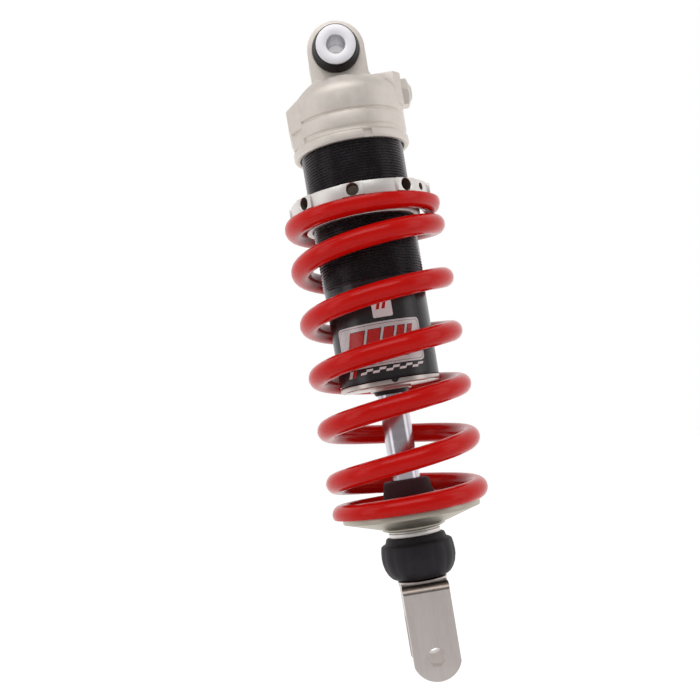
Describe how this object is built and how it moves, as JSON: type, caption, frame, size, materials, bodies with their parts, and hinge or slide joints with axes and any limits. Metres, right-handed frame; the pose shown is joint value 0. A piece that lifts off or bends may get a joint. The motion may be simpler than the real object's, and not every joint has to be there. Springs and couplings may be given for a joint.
{
  "type": "motorcycle rear shock absorber",
  "caption": "Coil-over mono-tube rear shock: forked lower clevis, upper eye with spherical bearing, threaded preload ring, red coil spring and rebound knob.",
  "frame": {"origin": "centre of the upper eye, where the bolt axis meets the damper axis", "axes": "+Z along the damper from the clevis to the eye, Y along both mounting bolts, +X towards the gas port"},
  "size_m": [0.0876, 0.0864, 0.3588],
  "materials": {
    "head_aluminium": "satin champagne-grey machined aluminium",
    "clevis_aluminium": "satin bead-blasted aluminium",
    "bright_aluminium": "turned, bright",
    "black_anodised": "black hard anodised",
    "red_powder_coat": "gloss red powder coat",
    "hard_chrome": "ground hard chrome",
    "bright_steel": "zinc-plated, ground faces",
    "bearing_steel": "hardened and ground",
    "rubber": "black nitrile rubber",
    "brass": "turned brass",
    "ptfe_bronze": "bronze-filled PTFE",
    "bump_stop_foam": "dark microcellular rubber",
    "knob_plastic": "matte black"
  },
  "bodies": {
    "damper": {"top_mount_head": "head_aluminium", "damper_body": "black_anodised", "head_o_ring": "rubber", "gas_port_plug": "bright_aluminium", "gas_port_washer": "brass", "gas_valve_core": "brass", "eye_bearing_race": "bearing_steel", "bearing_circlip_front": "bearing_steel", "bearing_circlip_rear": "bearing_steel", "seal_head": "bright_aluminium", "seal_head_o_ring": "rubber", "guide_bush": "ptfe_bronze", "rod_seal": "rubber", "body_end_cap": "bright_aluminium", "dust_wiper": "rubber", "top_out_bumper": "rubber", "spring": "red_powder_coat"},
    "eye_core": {"eye_bearing_ball": "bearing_steel", "eye_spacer_front": "bright_steel", "eye_spacer_rear": "bright_steel", "eye_seal_front": "rubber", "eye_seal_rear": "rubber"},
    "floating_piston": {"floating_piston": "bright_aluminium", "floating_piston_o_ring": "rubber"},
    "preload_slider": {"thrust_washer": "bright_steel"},
    "preload_ring": {"preload_ring": "bright_aluminium", "preload_lock_screw": "bright_steel"},
    "rod_assembly": {"piston_rod": "hard_chrome", "piston": "bright_aluminium", "piston_band": "ptfe_bronze", "compression_shims": "bright_steel", "rebound_shims": "bright_steel", "piston_nut": "bright_steel", "bump_stop": "bump_stop_foam", "bump_stop_washer": "bright_steel", "lower_spring_seat": "bright_aluminium", "seat_collar": "bright_aluminium", "clevis": "clevis_aluminium"},
    "rebound_knob": {"rebound_knob": "knob_plastic"},
    "rebound_needle": {"rebound_needle": "bright_steel"}
  },
  "joints": [
    {"name": "damper_slide", "type": "slide", "parent": "damper", "child": "rod_assembly", "axis": [0, 0, 1], "range_m": [0, 0.0472], "stiffness_N_per_m": 85000, "springref_m": -0.006, "deforming": ["spring"]},
    {"name": "eye_swivel", "type": "hinge", "parent": "damper", "child": "eye_core", "pos_m": [0, 0, 0], "axis": [0, 1, 0], "continuous": true},
    {"name": "floating_piston_slide", "type": "slide", "parent": "damper", "child": "floating_piston", "axis": [0, 0, 1], "range_m": [0, 0.006]},
    {"name": "preload_travel", "type": "slide", "parent": "damper", "child": "preload_slider", "axis": [0, 0, 1], "range_m": [-0.0062, 0.0032], "deforming": ["spring"]},
    {"name": "preload_turn", "type": "hinge", "parent": "preload_slider", "child": "preload_ring", "pos_m": [0, 0, -0.082], "axis": [0, 0, 1], "range_deg": [-1440, 720], "deforming": ["spring"]},
    {"name": "rebound_click", "type": "hinge", "parent": "rod_assembly", "child": "rebound_knob", "pos_m": [0, 0, -0.277], "axis": [0, 0, 1], "range_deg": [-360, 360]},
    {"name": "needle_lift", "type": "slide", "parent": "rod_assembly", "child": "rebound_needle", "axis": [0, 0, 1], "range_m": [-0.0011, 0.0011]}
  ],
  "couplings": [
    {"joint": "floating_piston_slide", "follows": "damper_slide", "ratio": 0.121},
    {"joint": "preload_travel", "follows": "preload_turn", "m_per_rad": 0.00023873},
    {"joint": "needle_lift", "follows": "rebound_click", "m_per_rad": 0.00015915}
  ]
}
